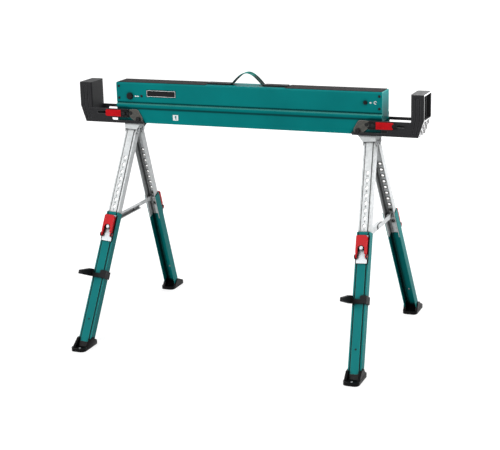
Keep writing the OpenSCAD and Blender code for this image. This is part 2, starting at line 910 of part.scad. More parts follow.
// Red lever: a plate with an arch cut in its lower end, side skirts and trunnions in the ears
module lock_lever(s, f) {
    face = -low_out_y - base_t;
    low = lever_pivot - lever_boss_r;
    end = lever_top + lever_plate_l;
    color(red) leg_frame(s, f) {
        along_y(face - lever_h, lever_t) difference() {
            translate([-lever_w / 2, -end]) rounded_rect(lever_w, lever_plate_l, lever_round);
            translate([-arch_w / 2, -end - cut]) square([arch_w, arch_up - arch_w / 2 + cut]);
            translate([0, -end + arch_up - arch_w / 2]) circle(arch_w / 2);
        }
        for (x = [-lever_w / 2, lever_w / 2 - lever_skirt]) along_x(x, lever_skirt) {
            translate([face - lever_h + lever_t / 2, -low])
                square([lever_h - lever_t / 2 - lever_clear, low - lever_top - lever_round]);
            translate([face - trunnion_h, -lever_pivot]) circle(lever_boss_r);
            translate([face - trunnion_h - lever_boss_r, -lever_pivot])
                square([2 * lever_boss_r, 2 * lever_boss_r]);
        }
        for (x = [-1, 1]) at_side(x)
            bar_x(face - trunnion_h, -lever_pivot, trunnion_r, lever_w / 2 - lever_skirt,
                lever_w / 2 + slide_gap + ear_t);
    }
}

// Spring-loaded lock pin, its tip at the hole row and its head above the barrel
module lock_pin(s, f) {
    seat = -low_out_y - base_t - barrel_h - slide_gap;
    color(zinc) leg_frame(s, f) {
        bar_y(0, -lock_z, lock_r, seat, -pin_inset - tele_gap);
        bar_y(0, -lock_z, lock_head_r, seat - lock_head_t, seat);
    }
}

// Braces, in the head frame with both links level

// Pressed channel link on the front leg, with a tail past the middle pivot
module brace_link_front(s) {
    color(zinc) head_frame(s) translate([0, -brace_half, -brace_drop]) difference() {
        union() {
            along_x(-brace_gap - brace_t, brace_t) slot(0, brace_half + brace_tail, 0, brace_h / 2);
            along_x(-brace_gap - brace_flange, brace_flange) for (z = [-brace_h / 2, brace_h / 2 - brace_t])
                translate([brace_h, z]) square([brace_half + brace_tail - brace_h, brace_t]);
            bar_x(0, 0, brace_r, -leg_w / 2, leg_w / 2);
        }
        bar_x(brace_half, 0, rivet_r + seat_fit, -leg_w, leg_w);
    }
}

// Flat link on the back leg
module brace_link_back(s) {
    color(zinc) head_frame(s) translate([0, brace_half, -brace_drop]) {
        along_x(brace_gap, brace_flat_t) slot(-brace_half, 0, 0, brace_h / 2 - brace_t);
        bar_x(0, 0, brace_r, -leg_w / 2, leg_w / 2);
    }
}

module brace_rivet(s) {
    color(zinc) head_frame(s) translate([0, 0, -brace_drop]) {
        bar_x(0, 0, rivet_r, -brace_gap - brace_t, -brace_gap);
        bar_x(0, 0, rivet_head_r, -brace_gap - brace_t - rivet_head_t, -brace_gap - brace_t);
    }
}

// Pegs on the front legs, both on the left side of their leg

// Spring clip round the lower leg, half as high beside the peg, with a stub that the peg turns on
module peg_clip(s) {
    half = low_half_w + seat_fit;
    out = low_out_y + seat_fit;
    edge = low_edge_y + seat_fit;
    color(black) leg_frame(s, -1) translate([0, 0, -clip_along]) at_side(s) {
        difference() {
            translate([0, 0, -clip_h / 2]) linear_extrude(clip_h) difference() {
                translate([-half - clip_t, -out - clip_t]) square([2 * (half + clip_t), out + edge + 2 * clip_t]);
                translate([-half, -out]) square([2 * half, out + edge]);
                translate([-half + clip_hook, 0]) square([2 * (half - clip_hook), edge + 2 * clip_t]);
            }
            translate([-half, -out - clip_t - cut, 0])
                cube([half * (1 + clip_notch_share), clip_t + 2 * cut, clip_h]);
        }
        bar_x(-out / 2, 0, stub_r, -half - clip_t - stub_l, -half - clip_t + cut);
    }
}

// Tapered peg that stands out from the leg, drooping a little, and folds up along it
module leg_peg(s) {
    half = low_half_w + seat_fit;
    eye_x = -half - clip_t - slide_gap - peg_eye_t;
    color(black) leg_frame(s, -1) translate([0, 0, -clip_along]) at_side(s)
        translate([0, -(low_out_y + seat_fit) / 2, 0]) difference() {
            union() {
                bar_x(0, 0, peg_eye_r, eye_x, eye_x + peg_eye_t);
                hull() {
                    translate([eye_x + (peg_eye_t - peg_w) / 2, -peg_eye_r, -peg_root_h / 2])
                        cube([peg_w, peg_eye_r, peg_root_h]);
                    translate([eye_x + (peg_eye_t - peg_tip_w) / 2, -peg_l, -peg_tip_drop - peg_tip_h / 2])
                        cube([peg_tip_w, peg_tip_t, peg_tip_h]);
                }
            }
            bar_x(0, 0, stub_r + run_fit, eye_x - cut, eye_x + peg_eye_t + cut);
        }
}

beam_shell();
end_cap(-1);  // end_cap_left
end_cap(1);  // end_cap_right
grip_strip(-1);  // grip_strip_left
grip_strip(1);  // grip_strip_right
carry_strap();
strap_plates();
cap_screws();
bracket(-1);  // bracket_left
bracket(1);  // bracket_right
bracket_bolts();
fold_bolt(-1);  // fold_bolt_left
fold_bolt(1);  // fold_bolt_right
fold_bushes();
release_button(-1);  // release_button_left
release_button(1);  // release_button_right
support_arm(-1);  // support_arm_left
support_arm(1);  // support_arm_right
arm_latch(-1);  // arm_latch_left
arm_latch(1);  // arm_latch_right
latch_screw(-1);  // latch_screw_left
latch_screw(1);  // latch_screw_right
leg_head(-1);  // leg_head_left
leg_head(1);  // leg_head_right
swing_pins(-1);  // swing_pins_left
swing_pins(1);  // swing_pins_right
upper_leg(-1, -1);  // upper_leg_front_left
upper_leg(-1, 1);  // upper_leg_back_left
upper_leg(1, -1);  // upper_leg_front_right
upper_leg(1, 1);  // upper_leg_back_right
lower_leg(-1, -1);  // lower_leg_front_left
lower_leg(-1, 1);  // lower_leg_back_left
lower_leg(1, -1);  // lower_leg_front_right
lower_leg(1, 1);  // lower_leg_back_right
foot(-1, -1);  // foot_front_left
foot(-1, 1);  // foot_back_left
foot(1, -1);  // foot_front_right
foot(1, 1);  // foot_back_right
lock_base(-1, -1);  // lock_base_front_left
lock_base(-1, 1);  // lock_base_back_left
lock_base(1, -1);  // lock_base_front_right
lock_base(1, 1);  // lock_base_back_right
lock_lever(-1, -1);  // lock_lever_front_left
lock_lever(-1, 1);  // lock_lever_back_left
lock_lever(1, -1);  // lock_lever_front_right
lock_lever(1, 1);  // lock_lever_back_right
lock_pin(-1, -1);  // lock_pin_front_left
lock_pin(-1, 1);  // lock_pin_back_left
lock_pin(1, -1);  // lock_pin_front_right
lock_pin(1, 1);  // lock_pin_back_right
brace_link_front(-1);  // brace_link_front_left
brace_link_back(-1);  // brace_link_back_left
brace_link_front(1);  // brace_link_front_right
brace_link_back(1);  // brace_link_back_right
brace_rivet(-1);  // brace_rivet_left
brace_rivet(1);  // brace_rivet_right
peg_clip(-1);  // peg_clip_left
peg_clip(1);  // peg_clip_right
leg_peg(-1);  // leg_peg_left
leg_peg(1);  // leg_peg_right
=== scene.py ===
"""Builders trestle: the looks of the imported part, in metres, in the part's own frame."""

import math

import bmesh
import bpy
from mathutils import Matrix, Vector


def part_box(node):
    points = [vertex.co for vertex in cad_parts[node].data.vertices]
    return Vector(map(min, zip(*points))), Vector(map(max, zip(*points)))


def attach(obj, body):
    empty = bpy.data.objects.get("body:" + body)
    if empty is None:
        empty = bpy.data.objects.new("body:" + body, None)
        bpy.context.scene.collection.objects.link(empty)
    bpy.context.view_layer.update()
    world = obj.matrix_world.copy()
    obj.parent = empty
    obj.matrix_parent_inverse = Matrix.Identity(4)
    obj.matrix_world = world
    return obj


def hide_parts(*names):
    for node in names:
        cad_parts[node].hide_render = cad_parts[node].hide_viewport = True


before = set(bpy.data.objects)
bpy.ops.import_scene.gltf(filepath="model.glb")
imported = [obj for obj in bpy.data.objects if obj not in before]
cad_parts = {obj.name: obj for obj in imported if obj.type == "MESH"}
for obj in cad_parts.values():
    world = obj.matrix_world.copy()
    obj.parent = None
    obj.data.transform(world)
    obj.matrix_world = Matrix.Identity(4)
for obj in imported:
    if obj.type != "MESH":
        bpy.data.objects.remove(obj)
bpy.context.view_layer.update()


# Beam shell: one long steel sheet pressed to a channel that is open below, with a bead along each side.
# It is powder coated teal after bending, so the coat is even, satin and slightly pebbled.


def linear(code):
    """sRGB hex colour as the linear colour that a shader socket takes"""
    parts = [int(code[i:i + 2], 16) / 255 for i in (1, 3, 5)]
    return [c / 12.92 if c <= 0.04045 else ((c + 0.055) / 1.055) ** 2.4 for c in parts] + [1]


def add(tree, kind, settings=None, values=None, links=None, stops=None):
    """Adds a node: its settings, socket values, links from other sockets, and a colour ramp's stops"""
    node = tree.nodes.new(kind)
    for name, value in (settings or {}).items():
        setattr(node, name, value)
    for name, value in (values or {}).items():
        node.inputs[name].default_value = value
    for name, source in (links or {}).items():
        tree.links.new(source, node.inputs[name])
    if stops:
        marks = node.color_ramp.elements
        while len(marks) < len(stops):
            marks.new(0.5)
        for mark, (place, code) in zip(marks, stops):
            mark.position = place
            mark.color = linear(code)
    return node


def finish(name, constants):
    """Starts a material with its shader's constants: gives it, its node tree and its shader"""
    material = bpy.data.materials.new(name)
    material.use_nodes = True
    coat = material.node_tree.nodes["Principled BSDF"]
    for socket, value in constants.items():
        coat.inputs[socket].default_value = value
    return material, material.node_tree, coat


def variant(material, name):
    """A copy of a material to draw on: gives it, its tree, its shader, and the sockets of colour and place"""
    copy = material.copy()
    copy.name = name
    tree = copy.node_tree
    coat = tree.nodes["Principled BSDF"]
    colour = coat.inputs["Base Color"].links[0].from_socket
    return copy, tree, coat, colour, add(tree, "ShaderNodeTexCoord").outputs["Object"]


same_point = 0.00001
flat_bend = math.radians(0.4)
sharp_bend = math.radians(35)


def dress(nodes, material, edge_mm):
    """Gives CAD nodes their finish and rounds their sharp edges a little"""
    for name in nodes:
        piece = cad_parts[name]
        piece.material_slots[0].material = material
        weld = piece.modifiers.new("closed_skin", "WELD")
        weld.merge_threshold = same_point
        flat = piece.modifiers.new("whole_faces", "DECIMATE")
        flat.decimate_type = "DISSOLVE"
        flat.angle_limit = flat_bend
        edge = piece.modifiers.new("eased_edges", "BEVEL")
        edge.width = edge_mm / 1000
        edge.segments = 2
        edge.limit_method = "ANGLE"
        edge.angle_limit = sharp_bend
        edge.harden_normals = True


mixed = {"data_type": "RGBA"}
multiplied = {"data_type": "RGBA", "blend_type": "MULTIPLY"}
near_edge = {"samples": 8, "inside": True, "only_local": True}
in_corner = {"samples": 8}

# Polyester powder coat on steel: satin, with a pebbled skin and a painted highlight along sharp bends.
powder_coat, tree, coat = finish("teal_powder_coat", {"Roughness": 0.4, "Specular IOR Level": 0.05})
at = add(tree, "ShaderNodeTexCoord").outputs["Object"]
# Cloudy film thickness, about 160 mm across
cloud = add(tree, "ShaderNodeTexNoise", values={"Scale": 1 / 0.16, "Detail": 3}, links={"Vector": at})
tone = add(tree, "ShaderNodeValToRGB", links={"Fac": cloud.outputs["Fac"]},
           stops=((0.3, "#00797a"), (0.7, "#008686")))
# Orange peel is about 2 mm in reality; drawn at 5 mm so that it shows
peel = add(tree, "ShaderNodeTexNoise", values={"Scale": 1 / 0.005, "Detail": 2}, links={"Vector": at})
skin = add(tree, "ShaderNodeBump", values={"Strength": 0.12, "Distance": 0.0006},
           links={"Height": peel.outputs["Fac"]})
# Painted highlight on bends: the sheet is 2 mm thick, and only near an edge does its inside end sooner
bend = add(tree, "ShaderNodeAmbientOcclusion", near_edge, {"Distance": 0.0018})
bend_highlight_mask = add(tree, "ShaderNodeValToRGB", links={"Fac": bend.outputs["AO"]},
           stops=((0.5, "#ffffff"), (0.88, "#000000")))
painted_edge_highlight = add(tree, "ShaderNodeMix", mixed, {"B": linear("#4fada5")},
           {"Factor": bend_highlight_mask.outputs["Color"], "A": tone.outputs["Color"]})
# Painted shade in folds and channels: within 14 mm of a wall the colour is darkened
fold = add(tree, "ShaderNodeAmbientOcclusion", in_corner, {"Distance": 0.014})
reach = add(tree, "ShaderNodeValToRGB", links={"Fac": fold.outputs["AO"]},
            stops=((0.35, "#3a3a3a"), (0.72, "#747474"), (0.95, "#ffffff")))
coat_with_painted_shade = add(tree, "ShaderNodeMix", multiplied, {"Factor": 1},
           {"A": painted_edge_highlight.outputs["Result"], "B": reach.outputs["Color"]})
tree.links.new(coat_with_painted_shade.outputs["Result"], coat.inputs["Base Color"])
tree.links.new(skin.outputs["Normal"], coat.inputs["Normal"])

# The same coat on the beam, with a painted shadow: a dark line along the bead's lower bend, under the bead.
beam_coat, tree, coat, plain, at = variant(powder_coat, "teal_powder_coat_with_painted_bead_shadow")
bead_foot = 0.7262
height = add(tree, "ShaderNodeSeparateXYZ", links={"Vector": at})
above = add(tree, "ShaderNodeMath", {"operation": "SUBTRACT"}, {1: bead_foot}, {0: height.outputs["Z"]})
beside = add(tree, "ShaderNodeMath", {"operation": "ABSOLUTE"}, links={0: above.outputs["Value"]})
# The painted shadow is 3 mm high at the foot of the bead, and fades over 4 mm on both sides
painted_shade_amount = add(tree, "ShaderNodeMapRange", links={"Value": beside.outputs["Value"]},
           values={"From Min": 0.0014, "From Max": 0.0055, "To Min": 0.88, "To Max": 0})
bead_shadow = add(tree, "ShaderNodeMix", mixed, {"B": linear("#043c3d")},
           {"Factor": painted_shade_amount.outputs["Result"], "A": plain})
tree.links.new(bead_shadow.outputs["Result"], coat.inputs["Base Color"])

dress(["beam_shell"], beam_coat, 0.6)


# End caps: two lids inside the beam's ends, in the same teal as the shell.
# They are mouldings, each held by two dark screws on each side of the beam.

dress(["end_cap_left", "end_cap_right"], powder_coat, 0.8)

# Black oxide on steel screws and bolts: dark, a little oily, with a dull metallic glint.
black_oxide, tree, coat = finish("black_oxide_steel", {"Metallic": 0.7})
at = add(tree, "ShaderNodeTexCoord").outputs["Object"]
# Patchy oxide, about 4 mm across
patch = add(tree, "ShaderNodeTexNoise", values={"Scale": 1 / 0.004, "Detail": 2}, links={"Vector": at})
tone = add(tree, "ShaderNodeValToRGB", links={"Fac": patch.outputs["Fac"]},
           stops=((0.3, "#0f0f10"), (0.7, "#1c1c1d")))
oily = add(tree, "ShaderNodeMapRange", values={"To Min": 0.32, "To Max": 0.5},
           links={"Value": patch.outputs["Fac"]})
tree.links.new(tone.outputs["Color"], coat.inputs["Base Color"])
tree.links.new(oily.outputs["Result"], coat.inputs["Roughness"])

dress(["cap_screws"], black_oxide, 0.5)


# Anti-slip strips: two dark mats along the beam's top, with fine grooves across.
# They are of vulcanised rubber and stuck on.

# Vulcanised rubber: brown-black, matt, with a gritty skin.
rubber, tree, coat = finish("ribbed_rubber", {"Roughness": 0.85, "Specular IOR Level": 0.2})
at = add(tree, "ShaderNodeTexCoord").outputs["Object"]
# Grit of about 1 mm, drawn at 3 mm so that it shows
grit = add(tree, "ShaderNodeTexNoise", values={"Scale": 1 / 0.003, "Detail": 3}, links={"Vector": at})
tone = add(tree, "ShaderNodeValToRGB", links={"Fac": grit.outputs["Fac"]},
           stops=((0.3, "#1b1919"), (0.72, "#2e2b2c")))
skin = add(tree, "ShaderNodeBump", values={"Strength": 0.5, "Distance": 0.0006},
           links={"Height": grit.outputs["Fac"]})
tree.links.new(tone.outputs["Color"], coat.inputs["Base Color"])
tree.links.new(skin.outputs["Normal"], coat.inputs["Normal"])

dress(["grip_strip_left", "grip_strip_right"], rubber, 0.2)


# Carry strap: teal webbing that springs up in an arch, its two ends laid flat and clamped on the beam's top.
# Woven of coarse polyester yarn with a denser selvage along both edges.


def as_piece(name, mesh, material, body):
    """Makes a piece of a finished mesh with the given material; it rides on a body"""
    data = bpy.data.meshes.new(name)
    mesh.to_mesh(data)
    mesh.free()
    data.materials.append(material)
    piece = bpy.data.objects.new(name, data)
    bpy.context.scene.collection.objects.link(piece)
    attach(piece, body)
    return piece


strap_seat = 0.8117
strap_width = 0.022
strap_thick = 0.0032
strap_half = 0.0536
strap_rise = 0.0385
held_step = 0.0025
held_count = 8
arch_count = 48
# The arch is a parabola for the most part, and a cosine for the rest, which eases its feet
cosine_share = 0.2
strap_line = [Vector((-strap_half - held_step * i, 0, 0)) for i in range(held_count, 0, -1)]
for i in range(arch_count + 1):
    u = 2 * i / arch_count - 1
    up = (1 - cosine_share) * (1 - u * u) + cosine_share * (1 + math.cos(math.pi * u)) / 2
    strap_line.append(Vector((strap_half * u, 0, strap_rise * up)))
strap_line += [Vector((strap_half + held_step * i, 0, 0)) for i in range(1, held_count + 1)]
for smoothing in range(3):
    between = [(a + 2 * b + c) / 4 for a, b, c in zip(strap_line, strap_line[1:], strap_line[2:])]
    strap_line = [strap_line[0]] + between + [strap_line[-1]]
# Section across the strap: a flat middle, then the selvage, a little thicker and round at the edge
half_section = ((-1, 0.45), (-0.97, 0.85), (-0.9, 1), (-0.8, 0.8), (0, 0.86),
                (0.8, 0.8), (0.9, 1), (0.97, 0.85), (1, 0.45))
strap_section = [(side * share * strap_width / 2, side * thick * strap_thick / 2)
                 for side in (1, -1) for share, thick in half_section]
# The free arch spreads 3 mm wider than the held ends, from 10 mm above the beam
arch_spread = 0.14
spread_height = 0.01
mesh = bmesh.new()
weave_map = mesh.loops.layers.uv.new("weave")
rings, lengths, run = [], [], 0
for i, point in enumerate(strap_line):
    ahead = strap_line[min(i + 1, len(strap_line) - 1)] - strap_line[max(i - 1, 0)]
    up = Vector((-ahead.z, 0, ahead.x)).normalized()
    run += (point - strap_line[i - 1]).length if i else 0
    lengths.append(run)
    middle = point + Vector((0, 0, strap_seat))
    spread = 1 + arch_spread * min(1, point.z / spread_height)
    rings.append([mesh.verts.new(middle + up * t + Vector((0, w * spread, 0))) for w, t in strap_section])
for i in range(len(rings) - 1):
    for j in range(len(strap_section)):
        k = (j + 1) % len(strap_section)
        face = mesh.faces.new((rings[i][j], rings[i][k], rings[i + 1][k], rings[i + 1][j]))
        face.smooth = True
        for loop, (length, edge) in zip(face.loops, ((i, j), (i, k), (i + 1, k), (i + 1, j))):
            loop[weave_map].uv = (lengths[length], strap_section[edge][0])
mesh.faces.new(rings[0])
mesh.faces.new(rings[-1][::-1])
bmesh.ops.recalc_face_normals(mesh, faces=mesh.faces)

# Polyester webbing: plain weave with a soft sheen. The yarns are 1.2 mm apart; their light and dark is
# drawn in bands of 24 mm so that it shows. A wave of scale 1 repeats every 2 pi / 20.
polyester, tree, coat = finish("woven_polyester", {"Roughness": 0.75, "Specular IOR Level": 0.08})
weave = {"Scale": math.tau / 20 / 0.024}
along = add(tree, "ShaderNodeUVMap", {"uv_map": "weave"}).outputs["UV"]
weft = add(tree, "ShaderNodeTexWave", {"bands_direction": "X"}, weave, {"Vector": along})
warp = add(tree, "ShaderNodeTexWave", {"bands_direction": "Y"}, weave, {"Vector": along})
cross = add(tree, "ShaderNodeMix", {"data_type": "FLOAT", "factor_mode": "UNIFORM"}, {"Factor": 0.5},
            {"A": weft.outputs["Fac"], "B": warp.outputs["Fac"]})
tone = add(tree, "ShaderNodeValToRGB", links={"Fac": cross.outputs["Result"]},
           stops=((0.15, "#0a625b"), (0.8, "#2c9a8f")))
# Painted light and shade: paler over the top of the arch, and darker towards its held ends
run_at = add(tree, "ShaderNodeSeparateXYZ", links={"Vector": along})
arch_at = add(tree, "ShaderNodeMapRange", values={"From Max": lengths[-1]},
              links={"Value": run_at.outputs["X"]})
arch_light_and_shade = add(tree, "ShaderNodeValToRGB", links={"Fac": arch_at.outputs["Result"]},
           stops=((0.0, "#4a4a4a"), (0.3, "#707070"), (0.44, "#ffffff"),
                  (0.56, "#ffffff"), (0.7, "#626262"), (1.0, "#3c3c3c")))
strap_with_painted_light = add(tree, "ShaderNodeMix", multiplied, {"Factor": 1},
            {"A": tone.outputs["Color"], "B": arch_light_and_shade.outputs["Color"]})
skin = add(tree, "ShaderNodeBump", values={"Strength": 0.6, "Distance": 0.0005},
           links={"Height": cross.outputs["Result"]})
tree.links.new(strap_with_painted_light.outputs["Result"], coat.inputs["Base Color"])
tree.links.new(skin.outputs["Normal"], coat.inputs["Normal"])

webbing = as_piece("strap_webbing", mesh, polyester, "beam")
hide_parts("carry_strap")


# Clamp plates: two low black covers over the strap's ends on the beam's top.
# They are moulded of glass-filled nylon and hold the webbing down on the sheet.

# Glass-filled nylon: near black, with the fine spark-eroded grain of its mould.
black_nylon, tree, coat = finish("grained_black_nylon", {"Roughness": 0.5, "Specular IOR Level": 0.1})
at = add(tree, "ShaderNodeTexCoord").outputs["Object"]
# Mould grain of about 0.5 mm, drawn at 3 mm so that it shows
grain = add(tree, "ShaderNodeTexNoise", values={"Scale": 1 / 0.003, "Detail": 4}, links={"Vector": at})
tone = add(tree, "ShaderNodeValToRGB", links={"Fac": grain.outputs["Fac"]},
           stops=((0.3, "#121213"), (0.72, "#1c1c1e")))
skin = add(tree, "ShaderNodeBump", values={"Strength": 0.25, "Distance": 0.0005},
           links={"Height": grain.outputs["Fac"]})
# Painted highlight along the edges, over about 2 mm
edge = add(tree, "ShaderNodeAmbientOcclusion", near_edge, {"Distance": 0.002})
nylon_edge_highlight_mask = add(tree, "ShaderNodeValToRGB", links={"Fac": edge.outputs["AO"]},
             stops=((0.4, "#ffffff"), (0.72, "#000000")))
painted_edge_highlight = add(tree, "ShaderNodeMix", mixed, {"B": linear("#5a5a5c")},
           {"Factor": nylon_edge_highlight_mask.outputs["Color"], "A": tone.outputs["Color"]})
tree.links.new(painted_edge_highlight.outputs["Result"], coat.inputs["Base Color"])
tree.links.new(skin.outputs["Normal"], coat.inputs["Normal"])

dress(["strap_plates"], black_nylon, 0.8)


# Brackets: pressed steel plates round the fold bolts, one on each side of the beam at each end.
# They are blanked from phosphated sheet and held by dark bolts; the fold bolts pass through them.

# Phosphated steel: warm dark grey, dull, with pale cut edges: bare steel, and a painted highlight.
phosphate, tree, coat = finish("phosphated_steel", {"Metallic": 0.55, "Roughness": 0.48})
at = add(tree, "ShaderNodeTexCoord").outputs["Object"]
# Crystal bloom of the phosphate, about 6 mm across
bloom = add(tree, "ShaderNodeTexNoise", values={"Scale": 1 / 0.006, "Detail": 4}, links={"Vector": at})
tone = add(tree, "ShaderNodeValToRGB", links={"Fac": bloom.outputs["Fac"]},
           stops=((0.3, "#363633"), (0.7, "#474641")))
# Cut edges: bare steel, painted paler still as a highlight
edge = add(tree, "ShaderNodeAmbientOcclusion", near_edge, {"Distance": 0.0018})
cut_edge_highlight_mask = add(tree, "ShaderNodeValToRGB", links={"Fac": edge.outputs["AO"]},
               stops=((0.5, "#ffffff"), (0.88, "#000000")))
painted_edge_highlight = add(tree, "ShaderNodeMix", mixed, {"B": linear("#8f8f8a")},
           {"Factor": cut_edge_highlight_mask.outputs["Color"], "A": tone.outputs["Color"]})
tree.links.new(painted_edge_highlight.outputs["Result"], coat.inputs["Base Color"])

dress(["bracket_left", "bracket_right"], phosphate, 0.5)
dress(["bracket_bolts", "fold_bolt_left", "fold_bolt_right"], black_oxide, 0.8)


# Spacer rings: turned steel rings on the fold bolts, between the leg heads and the beam.
# They are zinc plated bright.

# Bright zinc plate: blue-grey metal with soft clouds from its passivation.
bright_zinc, tree, coat = finish("bright_zinc_plate", {"Metallic": 1})
at = add(tree, "ShaderNodeTexCoord").outputs["Object"]
# Passivation clouds, about 12 mm across
cloud = add(tree, "ShaderNodeTexNoise", values={"Scale": 1 / 0.012, "Detail": 3}, links={"Vector": at})
tone = add(tree, "ShaderNodeValToRGB", links={"Fac": cloud.outputs["Fac"]},
           stops=((0.3, "#85888b"), (0.7, "#9da0a2")))
dull = add(tree, "ShaderNodeMapRange", values={"To Min": 0.36, "To Max": 0.54},
           links={"Value": cloud.outputs["Fac"]})
# Painted shade in the corners, within 20 mm
corner = add(tree, "ShaderNodeAmbientOcclusion", in_corner, {"Distance": 0.02})
corner_shade = add(tree, "ShaderNodeValToRGB", links={"Fac": corner.outputs["AO"]},
           stops=((0.3, "#2a2a2a"), (0.9, "#ffffff")))
tone_with_painted_shade = add(tree, "ShaderNodeMix", multiplied, {"Factor": 1},
            {"A": tone.outputs["Color"], "B": corner_shade.outputs["Color"]})
tree.links.new(tone_with_painted_shade.outputs["Result"], coat.inputs["Base Color"])
tree.links.new(dull.outputs["Result"], coat.inputs["Roughness"])

dress(["fold_bushes"], bright_zinc, 0.4)


# Press buttons: two round knobs on the beam's front, near its ends.
# They are moulded of the same black nylon, and each slides in a hole in the sheet.

dress(["release_button_left", "release_button_right"], black_nylon, 1.0)


# Beam rivet: a small dark blind rivet beside the left button.
# Its domed steel head lies on the sheet, with the mandrel's hollow in the middle.


def turned(name, profile, place, body, material):
    """A turned piece: radius and height pairs in mm, spun round the Z axis of its place"""
    steps = 32
    angles = [math.tau * i / steps for i in range(steps)]
    mesh = bmesh.new()
    rings = [[mesh.verts.new(Vector((r * math.cos(a), r * math.sin(a), h)) / 1000) for a in angles]
             for r, h in profile]
    for low, high in zip(rings, rings[1:]):
        for i in range(steps):
            j = (i + 1) % steps
            mesh.faces.new((low[i], low[j], high[j], high[i])).smooth = True
    mesh.faces.new(rings[0][::-1])
    mesh.faces.new(rings[-1])
    mesh.transform(place)
    bmesh.ops.recalc_face_normals(mesh, faces=mesh.faces)
    as_piece(name, mesh, material, body)


beam_side = 0.0365
outward = Matrix.Rotation(math.radians(90), 4, "X")
dome = [(4.2, 0), (4.2, 0.5), (3.7, 1.1), (2.6, 1.6), (1.3, 1.85), (1.2, 1.4)]
rivet_spot = Matrix.Translation((-0.358, -beam_side, 0.767))
turned("beam_rivet", dome, rivet_spot @ outward, "beam", black_oxide)


# Badge plate: a bare black plate with a pale raised frame, on the beam's front at the left.
# Anodised sheet, 0.8 mm thick and stuck on; the frame is printed on its face.


def plate(name, x_span, z_span, corner, back, thick, frame_width, material):
    """A thin plate on the beam's front with round corners; with a frame width of 0 it is whole"""
    least_corner, corner_steps = 0.0003, 6
    ease = thick * 0.35
    face = -back - thick
    (x0, x1), (z0, z1) = x_span, z_span
    mesh = bmesh.new()

    def outline(inset, y):
        points = []
        r = max(corner - inset, least_corner)
        left, right, low, high = x0 + inset + r, x1 - inset - r, z0 + inset + r, z1 - inset - r
        for x, z, start in ((right, high, 0), (left, high, 90), (left, low, 180), (right, low, 270)):
            for k in range(corner_steps + 1):
                a = math.radians(start + 90 * k / corner_steps)
                points.append(mesh.verts.new((x + r * math.cos(a), y, z + r * math.sin(a))))
        return points

    loops = [outline(0, -back), outline(0, face + ease), outline(ease, face)]
    if frame_width:
        loops += [outline(frame_width - ease, face), outline(frame_width, face + ease)]
        loops.append(outline(frame_width, -back))
    pairs = list(zip(loops, loops[1:]))
    if frame_width:
        pairs.append((loops[-1], loops[0]))
    for near, far in pairs:
        for i in range(len(near)):
            j = (i + 1) % len(near)
            mesh.faces.new((near[i], near[j], far[j], far[i]))
    if not frame_width:
        mesh.faces.new(loops[0])
        mesh.faces.new(loops[-1])
    bmesh.ops.recalc_face_normals(mesh, faces=mesh.faces)
    as_piece(name, mesh, material, "beam")


# Screen-printed white ink: chalky, with a little of the ground showing through.
white_ink, tree, coat = finish("printed_white_ink", {"Roughness": 0.55})
at = add(tree, "ShaderNodeTexCoord").outputs["Object"]
# Ink mottle, about 2 mm across
mottle = add(tree, "ShaderNodeTexNoise", values={"Scale": 1 / 0.002, "Detail": 2}, links={"Vector": at})
tone = add(tree, "ShaderNodeValToRGB", links={"Fac": mottle.outputs["Fac"]},
           stops=((0.25, "#e6efee"), (0.6, "#fbfdfd")))
tree.links.new(tone.outputs["Color"], coat.inputs["Base Color"])

# Black anodised sheet: even and satin, with fine brush lines along it.
black_sheet, tree, coat = finish("black_anodised_sheet", {"Specular IOR Level": 0.1})
at = add(tree, "ShaderNodeTexCoord").outputs["Object"]
# Brush lines are 0.2 mm apart and 20 mm long; drawn at 1 mm so that they show
line_size = add(tree, "ShaderNodeMapping", values={"Scale": (1 / 0.02, 1 / 0.001, 1 / 0.001)},
                links={"Vector": at})
brush = add(tree, "ShaderNodeTexNoise", values={"Scale": 1, "Detail": 2},
            links={"Vector": line_size.outputs["Vector"]})
tone = add(tree, "ShaderNodeValToRGB", links={"Fac": brush.outputs["Fac"]},
           stops=((0.3, "#0e0e10"), (0.7, "#1b1b1d")))
satin = add(tree, "ShaderNodeMapRange", values={"To Min": 0.35, "To Max": 0.5},
            links={"Value": brush.outputs["Fac"]})
tree.links.new(tone.outputs["Color"], coat.inputs["Base Color"])
tree.links.new(satin.outputs["Result"], coat.inputs["Roughness"])

badge_thick = 0.0008
ink_thick = 0.0002
plate("badge_plate", (-0.340, -0.236), (0.765, 0.788), 0.002, beam_side, badge_thick, 0,
      black_sheet)
plate("badge_frame", (-0.3385, -0.2375), (0.7665, 0.7865), 0.0015, beam_side + badge_thick, ink_thick, 0.0012,
      white_ink)


# Unit mark: a white square with a plain figure left open in it, low on the beam's front.
# It is screen printed on the powder coat, and the coat's teal shows in the figure.

plate("unit_mark", (-0.249, -0.230), (0.692, 0.710), 0.001, beam_side, ink_thick, 0, white_ink)
print_lift = 0.0003


def printed(name, outlines, material):
    """Flat marks on the beam's front: each outline is a list of x and z in mm"""
    mesh = bmesh.new()
    for outline in outlines:
        mesh.faces.new([mesh.verts.new((x / 1000, -beam_side - print_lift, z / 1000)) for x, z in outline])
    as_piece(name, mesh, material, "beam")


figure_x, figure_z = -239, 694.8
figure = [(-1.2, 0), (2.2, 0), (2.2, 12.4), (0, 12.4), (-3.6, 9.8), (-3.6, 6.8), (-1.2, 8.2)]
printed("unit_figure", [[(figure_x + x, figure_z + z) for x, z in figure]], powder_coat)


# Button marks: plain arrows beside the press buttons, with an open ring beside the right one.
# They are printed in the same white ink.

arrow = [(0, 3.2), (-5, 0), (0, -3.2), (0, -1.1), (3.5, -1.1), (3.5, 1.1), (0, 1.1)]
left_arrow = [(-378.5 + x, 765.6 + z) for x, z in arrow]
right_arrow = [(-371.5 - x, 765.6 + z) for x, z in arrow[::-1]]
printed("button_mark_left", [left_arrow, right_arrow], white_ink)

